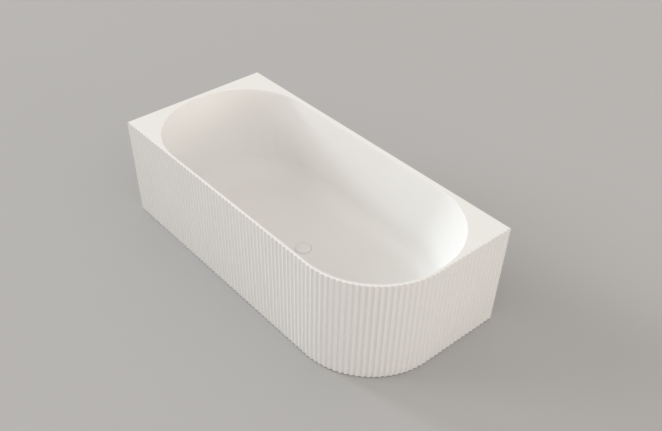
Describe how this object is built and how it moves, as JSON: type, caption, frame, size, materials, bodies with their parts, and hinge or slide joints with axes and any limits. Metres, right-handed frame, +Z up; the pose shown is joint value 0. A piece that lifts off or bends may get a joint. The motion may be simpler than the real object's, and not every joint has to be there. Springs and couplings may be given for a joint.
{
  "type": "back-to-wall bath",
  "caption": "Back-to-wall corner bath with a fluted skirt round its free sides, a smooth oval basin, a click-clack waste and levelling feet.",
  "frame": {"origin": "on the floor, under the middle of the bath's outline", "axes": "+X along the bath towards its free end, +Y towards the wall behind it, +Z up"},
  "size_m": [1.7, 0.78, 0.52],
  "materials": {
    "bath_acrylic": "satin white acrylic",
    "board": "raw fibreboard",
    "frame_steel": "grey powder coat",
    "bracket_steel": "galvanised",
    "zinc_steel": "zinc plated",
    "black_plastic": "moulded",
    "foot_plastic": "moulded nylon",
    "waste_white": "satin white coat",
    "seal_rubber": "moulded",
    "waste_brass": "turned",
    "spring_steel": "drawn wire",
    "nut_plastic": "moulded",
    "pipe_plastic": "moulded"
  },
  "bodies": {
    "frame": {"bath_shell": "bath_acrylic", "fluted_skirt": "bath_acrylic", "base_board": "board", "front_rail": "frame_steel", "back_rail": "frame_steel", "left_end_rail": "frame_steel", "cross_rail_left": "frame_steel", "cross_rail_middle": "frame_steel", "cross_rail_right": "frame_steel", "upright_front_left": "frame_steel", "upright_back_left": "frame_steel", "upright_back_right": "frame_steel", "wall_brackets": "bracket_steel", "skirt_brackets": "bracket_steel", "skirt_bracket_screws": "zinc_steel", "board_screws": "zinc_steel", "weld_nuts": "zinc_steel", "lock_nuts": "zinc_steel", "upright_pads": "black_plastic", "rail_end_plugs": "black_plastic", "waste_body": "waste_white", "waste_upper_seal": "seal_rubber", "waste_lower_seal": "seal_rubber", "outlet_washer": "seal_rubber", "waste_cartridge": "waste_brass", "waste_spring": "spring_steel", "waste_clamp_nut": "nut_plastic", "union_nut": "nut_plastic", "outlet_tailpiece": "pipe_plastic"},
    "cap": {"waste_cap": "waste_white", "cap_spindle": "waste_brass", "cap_seal": "seal_rubber"},
    "pad_front_left": {"foot_pad_front_left": "foot_plastic"},
    "stem_front_left": {"foot_stem_front_left": "zinc_steel"},
    "pad_front_middle": {"foot_pad_front_middle": "foot_plastic"},
    "stem_front_middle": {"foot_stem_front_middle": "zinc_steel"},
    "pad_front_right": {"foot_pad_front_right": "foot_plastic"},
    "stem_front_right": {"foot_stem_front_right": "zinc_steel"},
    "pad_back_left": {"foot_pad_back_left": "foot_plastic"},
    "stem_back_left": {"foot_stem_back_left": "zinc_steel"},
    "pad_back_middle": {"foot_pad_back_middle": "foot_plastic"},
    "stem_back_middle": {"foot_stem_back_middle": "zinc_steel"},
    "pad_back_right": {"foot_pad_back_right": "foot_plastic"},
    "stem_back_right": {"foot_stem_back_right": "zinc_steel"}
  },
  "joints": [
    {"name": "cap_lift", "type": "slide", "parent": "frame", "child": "cap", "axis": [0, 0, 1], "range_m": [0, 0.008], "deforming": ["waste_spring"]},
    {"name": "pad_slide_front_left", "type": "slide", "parent": "frame", "child": "pad_front_left", "axis": [0, 0, -1], "range_m": [0, 0.02]},
    {"name": "stem_turn_front_left", "type": "hinge", "parent": "pad_front_left", "child": "stem_front_left", "pos_m": [-0.77, -0.35, 0.02], "axis": [0, 0, -1], "range_deg": [0, 4320]},
    {"name": "pad_slide_front_middle", "type": "slide", "parent": "frame", "child": "pad_front_middle", "axis": [0, 0, -1], "range_m": [0, 0.02]},
    {"name": "stem_turn_front_middle", "type": "hinge", "parent": "pad_front_middle", "child": "stem_front_middle", "pos_m": [-0.15625, -0.35, 0.02], "axis": [0, 0, -1], "range_deg": [0, 4320]},
    {"name": "pad_slide_front_right", "type": "slide", "parent": "frame", "child": "pad_front_right", "axis": [0, 0, -1], "range_m": [0, 0.02]},
    {"name": "stem_turn_front_right", "type": "hinge", "parent": "pad_front_right", "child": "stem_front_right", "pos_m": [0.4575, -0.35, 0.02], "axis": [0, 0, -1], "range_deg": [0, 4320]},
    {"name": "pad_slide_back_left", "type": "slide", "parent": "frame", "child": "pad_back_left", "axis": [0, 0, -1], "range_m": [0, 0.02]},
    {"name": "stem_turn_back_left", "type": "hinge", "parent": "pad_back_left", "child": "stem_back_left", "pos_m": [-0.77, 0.35, 0.02], "axis": [0, 0, -1], "range_deg": [0, 4320]},
    {"name": "pad_slide_back_middle", "type": "slide", "parent": "frame", "child": "pad_back_middle", "axis": [0, 0, -1], "range_m": [0, 0.02]},
    {"name": "stem_turn_back_middle", "type": "hinge", "parent": "pad_back_middle", "child": "stem_back_middle", "pos_m": [0, 0.35, 0.02], "axis": [0, 0, -1], "range_deg": [0, 4320]},
    {"name": "pad_slide_back_right", "type": "slide", "parent": "frame", "child": "pad_back_right", "axis": [0, 0, -1], "range_m": [0, 0.02]},
    {"name": "stem_turn_back_right", "type": "hinge", "parent": "pad_back_right", "child": "stem_back_right", "pos_m": [0.77, 0.35, 0.02], "axis": [0, 0, -1], "range_deg": [0, 4320]}
  ],
  "couplings": [
    {"joint": "pad_slide_front_left", "follows": "stem_turn_front_left", "m_per_rad": 0.00023873},
    {"joint": "pad_slide_front_middle", "follows": "stem_turn_front_middle", "m_per_rad": 0.00023873},
    {"joint": "pad_slide_front_right", "follows": "stem_turn_front_right", "m_per_rad": 0.00023873},
    {"joint": "pad_slide_back_left", "follows": "stem_turn_back_left", "m_per_rad": 0.00023873},
    {"joint": "pad_slide_back_middle", "follows": "stem_turn_back_middle", "m_per_rad": 0.00023873},
    {"joint": "pad_slide_back_right", "follows": "stem_turn_back_right", "m_per_rad": 0.00023873}
  ]
}
